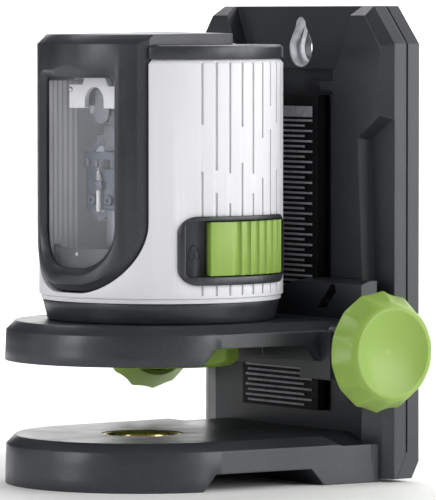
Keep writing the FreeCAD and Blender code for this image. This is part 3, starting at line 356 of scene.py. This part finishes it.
def tripod_thread():
    """Helical thread ridge inside the brass bush: 5/8 inch, 11 turns per inch."""
    form = bmesh.new()
    pitch = 25.4 / 11
    root, height = 7.95, 0.72
    start, turns, steps, fade = 1.3, 3.7, 48, 12
    rings = []
    for k in range(int(steps * turns) + 1):
        angle = 2 * math.pi * k / steps
        level = start + pitch * k / steps
        ease = min(1.0, k / fade, (steps * turns - k) / fade)
        crest = root - height * max(0.05, ease)
        section = ((root, -0.95), (crest, -0.16), (crest, 0.16), (root, 0.95))
        rings.append([form.verts.new((r * math.cos(angle), r * math.sin(angle), level + dz))
                      for r, dz in section])
    join_rings(form, rings, closed=False)
    add_piece("tripod_thread_ridge", form, "brass", "bracket", WORLD, 60)


def keyhole_liner():
    """Thin pressed sleeve that lines the pear-shaped opening of the wall plate."""
    bulb, bulb_radius = 103.4, 4.8
    tip, tip_radius = bulb + 5.4, 2.1

    def arc(middle, radius, start, end, steps):
        turns = [math.radians(start + (end - start) * k / steps) for k in range(steps + 1)]
        return [(radius * math.cos(a), middle + radius * math.sin(a)) for a in turns]

    def outline(inset):
        right = arc(tip, tip_radius - inset, 90, 0, 8)
        right += arc(bulb, bulb_radius - inset, 17, -90, 12)
        return right + [(-x, z) for x, z in reversed(right[1:-1])]

    form = bmesh.new()
    skins = [[form.verts.new((x, y, z)) for x, z in outline(inset)]
             for inset, y in ((0.05, 47.15), (0.05, 49.65), (0.35, 49.65), (0.35, 47.25))]
    join_rings(form, skins + skins[:1])
    piece = add_piece("keyhole_liner", form, "steel", "bracket", WORLD)
    dress(piece, GALVANISED)


def lock_symbol():
    """Plain padlock sign, raised on the floor of the switch recess."""
    radius, line = 27.28, 0.09
    middle_angle, middle_height = 65.6, 16.6
    per_mm = math.degrees(1 / radius)

    def spot(u, v):
        return around(middle_angle + u * per_mm, radius, middle_height + v)

    box = [spot(u, v) for u, v in ((-1.3, -1.2), (1.3, -1.2), (1.3, 0.7), (-1.3, 0.7))]
    arch = [spot(-0.85 * math.cos(a), 1.2 + 0.85 * math.sin(a))
            for a in [math.pi * k / 10 for k in range(11)]]
    shackle = [spot(-0.85, 0.7)] + arch + [spot(0.85, 0.7)]
    slit = [spot(0, -0.65), spot(0, 0.1)]
    add_wire("lock_sign_body", box, line, "dark_plastic", "laser_head", closed=True)
    add_wire("lock_sign_shackle", shackle, line, "dark_plastic", "laser_head")
    add_wire("lock_sign_slot", slit, line, "dark_plastic", "laser_head")


# foot of the window in the laser unit, in millimetres
WINDOW_SILL = 12.2


def inner_shroud():
    """Light moulded walls behind the window, gently fluted near the front."""
    top = 57.0
    form = bmesh.new()
    outline = []
    for k in range(49):
        along = k / 48
        flute = 0.22 * math.sin(along * 5.5 * math.pi) ** 2
        outline.append((-12.8 - 0.35 * math.sin(along * math.pi) + flute, -24.0 + 8.6 * along))
    outline += [(-13.2, -15.2), (-13.2, -14.9), (-12.2, -8.0), (-12.1, 2.5), (-10.8, 5.2),
                (12.0, 5.2), (13.5, 4.0), (13.5, -14.8), (12.9, -20.0), (12.9, -22.3)]
    backs = [(x + (-0.5 if x < -10 else 0.6 if x > 10 else 0), y + (0.6 if y > 5 else 0))
             for x, y in outline]
    face_low, back_low, face_high, back_high = (
        [form.verts.new((x, y, z)) for x, y in spots]
        for spots, z in ((outline, WINDOW_SILL), (backs, WINDOW_SILL), (outline, top), (backs, top)))
    loft(form, list(zip(face_low, face_high, back_high, back_low)))
    add_piece("inner_shroud", form, "light_plastic", "laser_head", smooth=50)


def inner_ledge():
    """Dark crescent ledge that closes the foot of the window."""
    form = bmesh.new()
    rows = []
    for k in range(33):
        front = around(-31 + 62 * k / 32, 25.7, 0)
        rows.append(((front.x, front.y), (front.x, min(-22.4, front.y + 0.8))))
    low = [[form.verts.new((x, y, WINDOW_SILL)) for x, y in row] for row in rows]
    high = [[form.verts.new((x, y, 18.1 - (0.5 if y < -22.5 else 0))) for x, y in row]
            for row in rows]
    loft(form, [(one[0], two[0], two[1], one[1]) for one, two in zip(low, high)])
    add_piece("window_ledge", form, "dark_plastic", "laser_head")
    form = bmesh.new()
    spot = around(-1.5, 25.6, 16.1)
    add_lathe(form, spot, (0, -1, 0), [(0.55, 0), (0.55, 0.2), (0.35, 0.42), (0.01, 0.5)], 20)
    add_piece("ledge_rivet", form, "steel", "laser_head")


def pendulum_details():
    """What shows of the pendulum: plates, prongs and leg, screws, sleeve, spring, wire, rivet."""
    form = bmesh.new()
    add_box(form, (-2.2, -18.9, 47.4), (2.4, -18.0, 55.2), 0.4)
    add_lathe(form, (0.1, -18.95, 49.6), (0, 1, 0), [(2.7, 0), (2.9, 0.2), (2.9, 0.8)], 28)
    add_box(form, (1.4, -19.3, 40.2), (8.6, -12.5, 46.6), 0.4)
    add_box(form, (3.4, -19.2, 46.4), (8.4, -14.0, 48.8), 0.3)
    add_piece("pendulum_tongue", form, "zinc", "pendulum")
    form = bmesh.new()
    add_box(form, (-4.7, -20.3, 36.4), (9.0, -19.1, 40.2), 0.25)
    add_box(form, (-4.2, -19.9, 26.5), (9.0, -19.1, 36.6), 0.25)
    add_box(form, (7.9, -19.4, 26.9), (9.0, -12.0, 40.0), 0.25)
    add_piece("module_housing", form, "module_metal", "pendulum")
    form = bmesh.new()
    add_box(form, (-3.3, -20.8, 36.7), (-2.2, -20.2, 38.6), 0.2)
    add_box(form, (0.0, -20.8, 36.5), (0.8, -20.2, 38.5), 0.2)
    add_box(form, (3.2, -16.2, 17.7), (6.5, -14.2, 27.4), 0.5)
    add_box(form, (3.2, -20.0, 17.7), (6.5, -18.6, 26.6), 0.5)
    add_piece("housing_prongs", form, "zinc", "pendulum")
    # a thin near-black sheet on the housing face: painted shade standing in for the dark opening of a
    # slot
    form = bmesh.new()
    add_box(form, (2.7, -20.6, 36.2), (4.9, -20.2, 38.4), 0.12)
    add_piece("housing_slot_shade_sheet", form, "rubber", "pendulum")
    form = bmesh.new()
    add_box(form, (-0.2, -21.0, 31.2), (2.6, -19.8, 33.4), 0.35)
    for x, z in ((-1.5, 28.8), (4.5, 28.8)):
        add_lathe(form, (x, -19.8, z), (0, -1, 0),
                  [(1.3, 0), (1.3, 0.7), (1.05, 0.95), (0.45, 0.95), (0.45, 0.5)], 24)
    add_piece("adjusting_screws", form, "module_metal", "pendulum")
    form = bmesh.new()
    add_lathe(form, (1.3, -20.6, 26.1), (0, 0, 1),
              [(0.4, 0), (0.58, 0.2), (0.58, 4.9), (0.4, 5.1)], 24)
    add_piece("spring_sleeve", form, "light_plastic", "pendulum")
    per_turn, turns = 15, 7
    coil = []
    for k in range(per_turn * turns + 1):
        angle = 2 * math.pi * k / per_turn
        coil.append((1.2 + 0.5 * math.cos(angle), -20.5 + 0.5 * math.sin(angle),
                     33.4 + 2.2 * k / (per_turn * turns)))
    add_wire("trim_spring", coil, 0.13, "steel", "pendulum")
    link = [(1.3 + 0.16 * k, -20.8 - 0.2 * math.sin(k / 8 * math.pi), 36.6 - 0.4 * k)
            for k in range(9)]
    add_wire("trim_wire", link, 0.16, "steel", "pendulum")
    form = bmesh.new()
    add_lathe(form, (-8.7, -20.6, 54.9), (0, -1, 0),
              [(0.6, 0), (0.6, 0.35), (0.4, 0.55), (0.01, 0.62)], 20)
    add_piece("yoke_rivet", form, "steel", "laser_head")


tripod_thread()
keyhole_liner()
lock_symbol()
inner_shroud()
inner_ledge()
pendulum_details()

# ---------------------------------------------------------------- floor, light, camera


VIEW_AZIMUTH = math.radians(54.4)
VIEW_DIP = math.radians(2.67)
EYE = (0.97670, -0.67699, 0.11071)
FOCAL_PIXELS, FRAME_PIXELS, SENSOR = 4984, 500, 36.0
MIDDLE = (0, 0, 0.055)


def add_stage(name, form, material):
    """Turns a bmesh in metres into an object that is stage, not part of the piece."""
    mesh = bpy.data.meshes.new(name)
    form.to_mesh(mesh)
    form.free()
    obj = bpy.data.objects.new(name, mesh)
    scene.collection.objects.link(obj)
    dress(obj, material)
    return obj


def pale_floor():
    """Floor that curves up into a wall far behind the object."""
    form = bmesh.new()
    curve = [(1.6 + 0.5 * math.sin(a), 0.5 - 0.5 * math.cos(a))
             for a in (0.2, 0.5, 0.8, 1.1, 1.4, math.pi / 2)]
    rows = [(-2.0, 0.0), (1.6, 0.0)] + curve + [(2.1, 3.0)]
    turn = Matrix.Rotation(VIEW_AZIMUTH, 3, "Z")
    strip = [[form.verts.new(turn @ Vector((side, along, up))) for along, up in rows]
             for side in (-3, 3)]
    for k in range(len(rows) - 1):
        form.faces.new((strip[0][k], strip[1][k], strip[1][k + 1], strip[0][k + 1])).smooth = True
    g = Graph("pale_floor")
    tone = g.blend(g.noise(3.0, 2.0), (0.90, 0.90, 0.90), (0.93, 0.93, 0.93))
    g.link(tone, g.shader.inputs["Base Color"])
    g.shader.inputs["Roughness"].default_value = 0.85
    add_stage("floor", form, g.material)


def dark_flag():
    """Black card behind and to the left, hidden from the camera: it keeps side faces from
    mirroring the backdrop."""
    form = bmesh.new()
    add_box(form, (-0.560, -0.520, 0), (-0.556, 0.190, 0.620), 0)
    card = add_stage("dark_flag", form, LOOKS["rubber"])
    card.visible_camera = False


def softbox(name, place, aim, width, height, power):
    """A rectangular area lamp that points at aim."""
    data = bpy.data.lights.new(name, "AREA")
    data.shape = "RECTANGLE"
    data.size = width
    data.size_y = height
    data.energy = power
    lamp = bpy.data.objects.new(name, data)
    lamp.location = place
    lamp.rotation_euler = (Vector(aim) - Vector(place)).to_track_quat("-Z", "Y").to_euler()
    scene.collection.objects.link(lamp)


def camera():
    """The photograph's viewpoint: the focal length is known in pixels of its 500-pixel height."""
    data = bpy.data.cameras.new("camera")
    data.sensor_width = SENSOR
    data.lens = FOCAL_PIXELS / FRAME_PIXELS * SENSOR
    data.clip_end = 50
    eye = bpy.data.objects.new("camera", data)
    look = Vector((-math.sin(VIEW_AZIMUTH) * math.cos(VIEW_DIP),
                   math.cos(VIEW_AZIMUTH) * math.cos(VIEW_DIP), -math.sin(VIEW_DIP)))
    eye.location = EYE
    eye.rotation_euler = look.to_track_quat("-Z", "Y").to_euler()
    scene.collection.objects.link(eye)
    scene.camera = eye


def studio():
    """A dim white world and seven soft lamps."""
    world = bpy.data.worlds.new("studio")
    world.use_nodes = True
    background = world.node_tree.nodes["Background"]
    background.inputs["Color"].default_value = (1, 1, 1, 1)
    background.inputs["Strength"].default_value = 0.20
    scene.world = world
    scene.view_settings.view_transform = "Standard"
    softbox("left_strip", (-0.16, -1.19, 0.45), MIDDLE, 0.5, 1.0, 7.5)
    softbox("far_left_strip", (-0.97, -0.70, 0.35), MIDDLE, 0.5, 1.0, 3.0)
    softbox("front_high", (0.89, -0.64, 0.90), MIDDLE, 0.7, 0.5, 0.9)
    softbox("right_strip", (1.08, 0.53, 0.45), MIDDLE, 0.6, 1.0, 8.5)
    softbox("far_right_strip", (0.70, 0.98, 0.40), MIDDLE, 0.5, 1.0, 7.0)
    softbox("back_strip", (-0.13, 1.20, 0.80), MIDDLE, 0.6, 0.8, 5.0)
    softbox("backdrop", (-0.9, 0.6, 1.3), (-1.5, 1.1, 0.0), 1.2, 1.2, 34)


pale_floor()
dark_flag()
studio()
camera()
